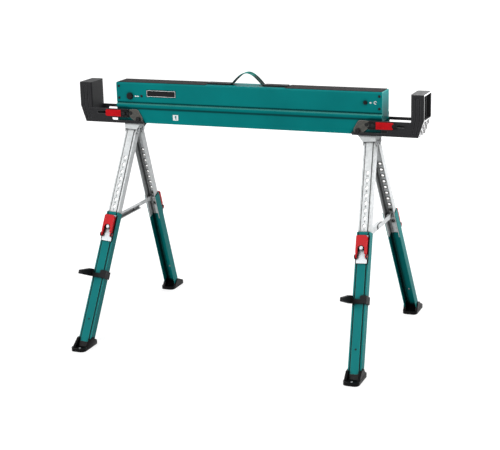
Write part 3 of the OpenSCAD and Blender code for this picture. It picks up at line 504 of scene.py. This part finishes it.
ring_x, ring_z, ring_out, ring_in = 426.5, 777.5, 5, 2.9
ring_start, ring_step, ring_count = 0.4, 0.55, 9
open_ring = []
for i in range(ring_count):
    t = ring_start + ring_step * i
    sector = ((ring_out, t), (ring_out, t + ring_step), (ring_in, t + ring_step), (ring_in, t))
    open_ring.append([(ring_x + r * math.cos(a), ring_z + r * math.sin(a)) for r, a in sector])
button_arrow = [(412 + x, 777 + z) for x, z in arrow]
printed("button_mark_right", [button_arrow] + open_ring, white_ink)


# Timber arms: black mouldings that slide along the beam's ends, each with a hollow upright for the timber.
# Glass-filled nylon with a lattice of bars at the outer end; the fold bolt guides each arm in its window.

# A lit copy of the nylon, painted greyer, with painted white highlights on the lattice bars' slanted ends and
# the upright's rim.
arm_nylon, tree, coat, plain, at = variant(black_nylon, "black_nylon_with_painted_highlights")
painted_edge_highlight = plain.node
painted_edge_highlight.inputs["B"].default_value = linear("#6c6c6e")
# The tone is painted lighter grey, as lit
tone = painted_edge_highlight.inputs["A"].links[0].from_node
for mark, code in zip(tone.color_ramp.elements, ("#222224", "#313133")):
    mark.color = linear(code)
# Both arms are mirror images, so the place is folded to the right one
folded = add(tree, "ShaderNodeVectorMath", {"operation": "ABSOLUTE"}, links={"Vector": at})
# The slanted end runs from 562 mm out at the arm's lower edge to 579 mm out at the kink
low_end, kink = Vector((0.562, 0, 0.677)), Vector((0.579, 0, 0.7290))
end_normal = (kink - low_end).cross(Vector((0, 1, 0))).normalized() * -1
level = end_normal.dot(kink)
reach = add(tree, "ShaderNodeVectorMath", {"operation": "DOT_PRODUCT"}, {1: end_normal},
            {0: folded.outputs["Vector"]})
bar_end = add(tree, "ShaderNodeMapRange", values={"From Min": level - 0.0009, "From Max": level - 0.0005},
              links={"Value": reach.outputs["Value"]})
# The rim is the last millimetre, 578 mm out, and its painted highlight is strongest above 802 mm
spot = add(tree, "ShaderNodeSeparateXYZ", links={"Vector": folded.outputs["Vector"]})
rim = add(tree, "ShaderNodeMapRange", values={"From Min": 0.5782, "From Max": 0.5786},
          links={"Value": spot.outputs["X"]})
rim_top = add(tree, "ShaderNodeMapRange", links={"Value": spot.outputs["Z"]},
              values={"From Min": 0.8010, "From Max": 0.8030, "To Min": 0.3, "To Max": 1})
rim_highlight = add(tree, "ShaderNodeMath", {"operation": "MULTIPLY"},
              links={0: rim.outputs["Result"], 1: rim_top.outputs["Result"]})
bar_and_rim_highlight = add(tree, "ShaderNodeMath", {"operation": "MAXIMUM"},
          links={0: bar_end.outputs["Result"], 1: rim_highlight.outputs["Value"]})
painted_white_highlight = add(tree, "ShaderNodeMix", mixed, {"B": linear("#e9e9ea")},
                {"Factor": bar_and_rim_highlight.outputs["Value"], "A": plain})
tree.links.new(painted_white_highlight.outputs["Result"], coat.inputs["Base Color"])

dress(["support_arm_left", "support_arm_right"], arm_nylon, 1.2)


# Window stops: a web in each side plate of the right arm that closes the outer end of the arm's window.
# They are moulded with the arm, of the same nylon.


def block(name, low, high, ease, body, material):
    """A moulded block between two corners in mm, with eased edges"""
    mesh = bmesh.new()
    bmesh.ops.create_cube(mesh, size=1)
    for v in mesh.verts:
        v.co = Vector([(a if c < 0 else b) / 1000 for c, a, b in zip(v.co, low, high)])
    bmesh.ops.bevel(mesh, geom=mesh.edges, offset=ease / 1000, segments=2, affect="EDGES")
    as_piece(name, mesh, material, body)


for side, y0, y1 in (("front", -42.9, -39.1), ("back", 39.1, 42.9)):
    block(f"window_stop_{side}", (446, y0, 685.6), (466, y1, 696.4), 0.6,
          "arm_right", black_nylon)


# Slide latches: red mouldings on the arms' rails, with a black fork mouth round a guide screw.
# They are moulded in ABS in two shots; the screws have black oxide.

# Moulded ABS: saturated red, half gloss, with faint flow marks.
red_abs, tree, coat = finish("moulded_red_abs", {"Specular IOR Level": 0.1})
at = add(tree, "ShaderNodeTexCoord").outputs["Object"]
# Flow marks, about 25 mm across
flow = add(tree, "ShaderNodeTexNoise", values={"Scale": 1 / 0.025, "Detail": 3}, links={"Vector": at})
tone = add(tree, "ShaderNodeValToRGB", links={"Fac": flow.outputs["Fac"]},
           stops=((0.3, "#c60c17"), (0.7, "#d8131d")))
gloss = add(tree, "ShaderNodeMapRange", values={"To Min": 0.26, "To Max": 0.42},
            links={"Value": flow.outputs["Fac"]})
tree.links.new(tone.outputs["Color"], coat.inputs["Base Color"])
tree.links.new(gloss.outputs["Result"], coat.inputs["Roughness"])

# The same ABS with the fork in black: the latch's inner end, up to 431 mm out
latch_abs, tree, coat, red, at = variant(red_abs, "red_abs_with_black_fork")
spot = add(tree, "ShaderNodeSeparateXYZ", links={"Vector": at})
out_along = add(tree, "ShaderNodeMath", {"operation": "ABSOLUTE"}, links={0: spot.outputs["X"]})
fork = add(tree, "ShaderNodeMapRange", values={"From Min": 0.4306, "From Max": 0.4314},
           links={"Value": out_along.outputs["Value"]})
two_shot = add(tree, "ShaderNodeMix", mixed, {"A": linear("#111112")},
               {"Factor": fork.outputs["Result"], "B": red})
tree.links.new(two_shot.outputs["Result"], coat.inputs["Base Color"])

dress(["arm_latch_left", "arm_latch_right"], latch_abs, 0.8)
dress(["latch_screw_left", "latch_screw_right"], black_oxide, 0.6)


# Latch button: a black knob on the outer end of the right latch, over the pin that runs in the arm's slot.
# It is moulded of nylon and pressed on, sunk 2 mm into the latch.

low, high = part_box("arm_latch_right")
knob = [(8.2, 0), (8.2, 2.2), (7.6, 3.2), (6, 3.9), (3.4, 4.3), (1, 4.4)]
knob_overhang, knob_sunk = 0.003, 0.002
knob_spot = Matrix.Translation((high[0] + knob_overhang, low[1] + knob_sunk, (low[2] + high[2]) / 2))
turned("latch_button", knob, knob_spot @ outward, "latch_right", black_nylon)


# Leg heads: bent steel plates under the beam's ends that fold on the fold bolts.
# They are of galvanised sheet and carry the legs' swing pins, which are zinc plated.

# Hot-dip galvanised sheet: pale grey with spangle of about 8 mm, half dull.
galvanised, tree, coat = finish("galvanised_sheet", {"Metallic": 0.1, "Specular IOR Level": 0.25})
at = add(tree, "ShaderNodeTexCoord").outputs["Object"]
spangle = add(tree, "ShaderNodeTexVoronoi", values={"Scale": 1 / 0.008}, links={"Vector": at})
facet = add(tree, "ShaderNodeSeparateColor", links={"Color": spangle.outputs["Color"]})
tone = add(tree, "ShaderNodeValToRGB", links={"Fac": facet.outputs["Red"]},
           stops=((0.0, "#d4d7d8"), (1.0, "#e6e9ea")))
dull = add(tree, "ShaderNodeMapRange", values={"To Min": 0.45, "To Max": 0.62},
           links={"Value": facet.outputs["Green"]})
# Painted shade along the pressed lines and inside a channel, within 12 mm of a wall
corner = add(tree, "ShaderNodeAmbientOcclusion", in_corner, {"Distance": 0.012})
corner_shade = add(tree, "ShaderNodeValToRGB", links={"Fac": corner.outputs["AO"]},
           stops=((0.4, "#4c4c4c"), (0.75, "#9a9a9a"), (0.95, "#ffffff")))
tone_with_painted_shade = add(tree, "ShaderNodeMix", multiplied, {"Factor": 1},
            {"A": tone.outputs["Color"], "B": corner_shade.outputs["Color"]})
tree.links.new(tone_with_painted_shade.outputs["Result"], coat.inputs["Base Color"])
tree.links.new(dull.outputs["Result"], coat.inputs["Roughness"])

dress(["leg_head_left", "leg_head_right"], galvanised, 0.5)
dress(["swing_pins_left", "swing_pins_right"], bright_zinc, 0.5)


# Upper legs: galvanised steel channels with a raised panel and a row of height holes.
# They hang on the swing pins of the leg heads.

corners = [(f, s) for s in ("left", "right") for f in ("front", "back")]
dress([f"upper_leg_{f}_{s}" for f, s in corners], galvanised, 0.5)


# Stamped figures: 1 to 10, one between each hole of the upper legs and the next.
# They are about 6 mm high, struck into the web; their dark colour is painted shade in the strokes.

fold_bolt = (0.4061, 0, 0.652)
swing_inset = 0.01699
lean, splay = math.radians(4.08), math.radians(25.95)


def leg_place(f, s):
    """Frame of a leg: origin on its swing pin, Z up along the leg, X along the beam, -Y out of its face"""
    swing = Matrix.Translation((0, -swing_inset, 0)) @ Matrix.Rotation(-splay, 4, "X")
    spot = Matrix.Translation(fold_bolt) @ Matrix.Rotation(-lean, 4, "Y") @ swing
    mirror = Matrix.Diagonal((1 if s == "right" else -1, -1 if f == "back" else 1, 1, 1))
    return mirror @ spot


hole_low = -0.333
hole_pitch = 0.0235
hole_count = 11
stamp_size = 0.0085
stamp_thick = 0.0001
stamp_y = -0.0099
for f, s in corners:
    flip = -1 if (f == "back") != (s == "left") else 1
    mesh = bmesh.new()
    for i in range(hole_count - 1):
        words = bpy.data.curves.new("stamp", "FONT")
        words.body = str(i + 1)
        words.size = stamp_size
        words.align_x = "CENTER"
        words.align_y = "CENTER"
        words.extrude = stamp_thick
        shape = bpy.data.objects.new("stamp", words)
        first = len(mesh.verts)
        mesh.from_mesh(shape.to_mesh())
        mesh.verts.ensure_lookup_table()
        middle = hole_low + hole_pitch * (i + 0.5)
        for v in mesh.verts[first:]:
            v.co = Vector((flip * v.co.x, stamp_y - v.co.z, middle + v.co.y))
        shape.to_mesh_clear()
        bpy.data.objects.remove(shape)
        bpy.data.curves.remove(words)
    mesh.transform(leg_place(f, s))
    bmesh.ops.recalc_face_normals(mesh, faces=mesh.faces)
    as_piece(f"leg_figures_{f}_{s}", mesh, black_oxide, f"upper_{f}_{s}")


# Hole collars: the rim of each height hole in the upper legs, drawn 3 mm into the channel.
# They are of the leg's own sheet, drawn in dark steel as painted shade inside the holes.

collar = [(5, 0), (5.9, 0), (5.9, 2.6), (5.6, 3), (5.3, 3), (5, 2.6)]
collar_y = -0.0079
steps = 24
angles = [math.tau * k / steps for k in range(steps)]
for f, s in corners:
    mesh = bmesh.new()
    for i in range(hole_count):
        middle = Vector((0, collar_y, hole_low + hole_pitch * i))
        loops = [[mesh.verts.new(middle + Vector((r * math.cos(a), h, r * math.sin(a))) / 1000)
                  for a in angles] for r, h in collar]
        for near, far in zip(loops, loops[1:] + loops[:1]):
            for k in range(steps):
                j = (k + 1) % steps
                mesh.faces.new((near[k], near[j], far[j], far[k])).smooth = True
    mesh.transform(leg_place(f, s))
    bmesh.ops.recalc_face_normals(mesh, faces=mesh.faces)
    as_piece(f"hole_collars_{f}_{s}", mesh, phosphate, f"upper_{f}_{s}")


# Lower legs: wider teal steel channels that slide on the upper legs.
# They are powder coated, with one rivet through the web above the shoe: dark outside, bright inside.


def from_leg_middle(tree, at):
    """Socket of the distance across a leg from its middle; the four legs are mirrored, so all fold to one"""
    leg = leg_place("front", "right")
    across = leg.to_3x3().col[0]
    folded = add(tree, "ShaderNodeVectorMath", {"operation": "ABSOLUTE"}, links={"Vector": at})
    offset = add(tree, "ShaderNodeVectorMath", {"operation": "DOT_PRODUCT"},
                 {1: (across.x, -across.y, across.z)}, {0: folded.outputs["Vector"]})
    off_middle = add(tree, "ShaderNodeMath", {"operation": "SUBTRACT"}, {1: across.dot(leg.translation)},
                     {0: offset.outputs["Value"]})
    to_side = add(tree, "ShaderNodeMath", {"operation": "ABSOLUTE"}, links={0: off_middle.outputs["Value"]})
    return to_side.outputs["Value"]


# The same coat as the beam's, with painted shadows along the two pressed lines of the web.
leg_coat, tree, coat, plain, at = variant(powder_coat, "teal_powder_coat_with_painted_line_shadows")
# Each painted shadow is about 4 mm wide, at the foot of the web's raised panel
pressed_line = 0.0150
off_line = add(tree, "ShaderNodeMath", {"operation": "SUBTRACT"}, {1: pressed_line},
               {0: from_leg_middle(tree, at)})
beside = add(tree, "ShaderNodeMath", {"operation": "ABSOLUTE"}, links={0: off_line.outputs["Value"]})
painted_shade_amount = add(tree, "ShaderNodeMapRange", links={"Value": beside.outputs["Value"]},
           values={"From Min": 0.0014, "From Max": 0.0024, "To Min": 0.9, "To Max": 0})
pressed_line_shadows = add(tree, "ShaderNodeMix", mixed, {"B": linear("#0a2f30")},
            {"Factor": painted_shade_amount.outputs["Result"], "A": plain})
tree.links.new(pressed_line_shadows.outputs["Result"], coat.inputs["Base Color"])

dress([f"lower_leg_{f}_{s}" for f, s in corners], leg_coat, 0.6)
bolt_head = [(4, 0), (4, 0.4), (3.5, 1.2), (2.2, 1.9), (0.8, 2.1)]
rivet_head = [(0.65 * r, 0.6 * h) for r, h in bolt_head]
web_out, web_in, rivet_along = -0.0125, -0.0103, -0.637
for f, s in corners:
    head_place = leg_place(f, s) @ Matrix.Translation((0, web_out, rivet_along)) @ outward
    tail_place = leg_place(f, s) @ Matrix.Translation((0, web_in, rivet_along)) @ outward.inverted()
    turned(f"leg_rivet_{f}_{s}", rivet_head, head_place, f"lower_{f}_{s}", black_oxide)
    turned(f"leg_rivet_tail_{f}_{s}", bolt_head, tail_place, f"lower_{f}_{s}", bright_zinc)


# Shoes: black rubber mouldings with an upturned rim, plugged into the lower legs.
# A bright bolt goes through each toe.

# Moulded rubber: deep black with a dull skin that catches a little light along its rim.
shoe_rubber, tree, coat = finish("moulded_black_rubber", {"Specular IOR Level": 0.08})
at = add(tree, "ShaderNodeTexCoord").outputs["Object"]
# Dusty patches, about 15 mm across
dust = add(tree, "ShaderNodeTexNoise", values={"Scale": 1 / 0.015, "Detail": 4}, links={"Vector": at})
tone = add(tree, "ShaderNodeValToRGB", links={"Fac": dust.outputs["Fac"]},
           stops=((0.3, "#040405"), (0.75, "#0b0b0c")))
dull = add(tree, "ShaderNodeMapRange", values={"To Min": 0.28, "To Max": 0.5},
           links={"Value": dust.outputs["Fac"]})
tree.links.new(tone.outputs["Color"], coat.inputs["Base Color"])
tree.links.new(dull.outputs["Result"], coat.inputs["Roughness"])

dress([f"foot_{f}_{s}" for f, s in corners], shoe_rubber, 1.2)
toe_x, toe_y, sole_top = 0.4526, 0.366, 0.006
for f, s in corners:
    toe = (toe_x if s == "right" else -toe_x, -toe_y if f == "front" else toe_y, sole_top)
    toe_place = Matrix.Translation(toe)
    turned(f"shoe_bolt_{f}_{s}", bolt_head, toe_place, f"lower_{f}_{s}", bright_zinc)


# Leg locks: a steel base with barrel and ears on each lower leg, a red lever in the ears, and a pin.
# The bases are pressed and zinc plated, the levers moulded of ABS, and the pins turned and zinc plated.

# The same zinc plate, painted black at its sides, which start 17 mm from the middle.
lock_zinc, tree, coat, plain, at = variant(bright_zinc, "zinc_plate_with_black_cheeks")
cheek = add(tree, "ShaderNodeMapRange", values={"From Min": 0.0168, "From Max": 0.0172},
            links={"Value": from_leg_middle(tree, at)})
sides = add(tree, "ShaderNodeMix", mixed, {"B": linear("#101011")},
            {"Factor": cheek.outputs["Result"], "A": plain})
tree.links.new(sides.outputs["Result"], coat.inputs["Base Color"])

dress([f"lock_base_{f}_{s}" for f, s in corners], lock_zinc, 0.5)
dress([f"lock_lever_{f}_{s}" for f, s in corners], red_abs, 1.0)
dress([f"lock_pin_{f}_{s}" for f, s in corners], bright_zinc, 0.4)


# Braces: a channel link on each front leg and a flat link on each back leg.
# They are of galvanised sheet, with a zinc-plated rivet in the middle.

dress([f"brace_link_{f}_{s}" for f, s in corners], galvanised, 0.4)
dress(["brace_rivet_left", "brace_rivet_right"], bright_zinc, 0.4)


# Clips and pegs: black bands round the front lower legs, each with a tapered peg that folds out.
# Both are moulded of the black nylon, and the bands grip the legs.

dress(["peg_clip_left", "peg_clip_right", "leg_peg_left", "leg_peg_right"], black_nylon, 0.8)


# Floor: white and plain, with the trestle's soft shadow.
# Its own glow for the eye and for reflections makes it white, most from 2 m out.


def shown_directly(tree):
    """Socket that is 1 for the camera's rays and for those that gloss or glass sends on, and else 0"""
    ray = add(tree, "ShaderNodeLightPath")
    seen = add(tree, "ShaderNodeMath", {"operation": "MAXIMUM"},
               links={0: ray.outputs["Is Camera Ray"], 1: ray.outputs["Is Glossy Ray"]})
    shown = add(tree, "ShaderNodeMath", {"operation": "MAXIMUM"},
                links={0: seen.outputs["Value"], 1: ray.outputs["Is Transmission Ray"]})
    return shown.outputs["Value"]


white = (1, 1, 1, 1)
floor_half = 40
floor_corners = [(x * floor_half, y * floor_half, 0) for x, y in ((-1, -1), (1, -1), (1, 1), (-1, 1))]
white_floor, tree, paint = finish("white_floor", {"Base Color": linear("#8c8c8c"), "Roughness": 0.6,
                                                  "Emission Color": white})
at = add(tree, "ShaderNodeTexCoord").outputs["Object"]
away = add(tree, "ShaderNodeVectorMath", {"operation": "LENGTH"}, links={"Vector": at})
# 0.6 m to 2 m from the middle of the trestle
paler = add(tree, "ShaderNodeMapRange", links={"Value": away.outputs["Value"]},
            values={"From Min": 0.6, "From Max": 2.0, "To Min": 0.76, "To Max": 1.0})
glow = add(tree, "ShaderNodeMath", {"operation": "MULTIPLY"},
           links={0: shown_directly(tree), 1: paler.outputs["Result"]})
tree.links.new(glow.outputs["Value"], paint.inputs["Emission Strength"])

data = bpy.data.meshes.new("floor")
data.from_pydata(floor_corners, [], [(0, 1, 2, 3)])
data.materials.append(white_floor)
floor = bpy.data.objects.new("floor", data)
bpy.context.scene.collection.objects.link(floor)


# Light: an even white room, and one lamp close to the right end.
# Wide soft lamps stand in front, above, behind and at the left.

world = bpy.data.worlds.new("studio")
bpy.context.scene.world = world
world.use_nodes = True
tree = world.node_tree
sky = tree.nodes["Background"]
level = add(tree, "ShaderNodeMapRange", values={"To Min": 0.15, "To Max": 1.0},
            links={"Value": shown_directly(tree)})
sky.inputs["Color"].default_value = white
tree.links.new(level.outputs["Result"], sky.inputs["Strength"])

for name, spot, aim, size, power in (
    ("end_lamp", (1.1, 0.0, 0.95), (0.45, 0, 0.5), 0.5, 7),
    ("front_lamp", (-1.3, -3.5, 2.0), (0, 0, 0.5), 2.0, 97),
    ("top_lamp", (0, 0.4, 3.2), (0, 0, 0.5), 2.5, 32),
    ("back_lamp", (0.6, 3.6, 1.8), (0, 0, 0.5), 2.0, 60),
    ("left_lamp", (-2.6, 0.5, 1.4), (-0.45, 0, 0.5), 1.2, 18),
):
    lamp = bpy.data.lights.new(name, "AREA")
    lamp.size = size
    lamp.energy = power
    holder = bpy.data.objects.new(name, lamp)
    holder.location = spot
    holder.visible_camera = False
    holder.rotation_euler = (Vector(aim) - Vector(spot)).to_track_quat("-Z", "Y").to_euler()
    bpy.context.scene.collection.objects.link(holder)


# Camera: where the photograph was taken from, to the right of the front and a little above.
# It looks at a point under the beam's middle from 4.2 m.

turn, tilt, roll = math.radians(21.997), math.radians(15.169), math.radians(-1.392)
looked_at = Vector((-0.0052, 0, 0.3527))
distance = 4.1757
back = Vector((math.sin(turn) * math.cos(tilt), -math.cos(turn) * math.cos(tilt), math.sin(tilt)))
right = (-back).cross(Vector((0, 0, 1))).normalized()
up = right.cross(-back)
level_right = right * math.cos(roll) + up * math.sin(roll)
level_up = up * math.cos(roll) - right * math.sin(roll)
lens = bpy.data.cameras.new("camera")
lens.sensor_fit = "HORIZONTAL"
lens.sensor_width = 36
lens.lens = 92.603
camera = bpy.data.objects.new("camera", lens)
camera.matrix_world = Matrix((level_right, level_up, back)).transposed().to_4x4()
camera.location = looked_at + back * distance
bpy.context.scene.collection.objects.link(camera)
bpy.context.scene.camera = camera
bpy.context.scene.view_settings.view_transform = "Standard"
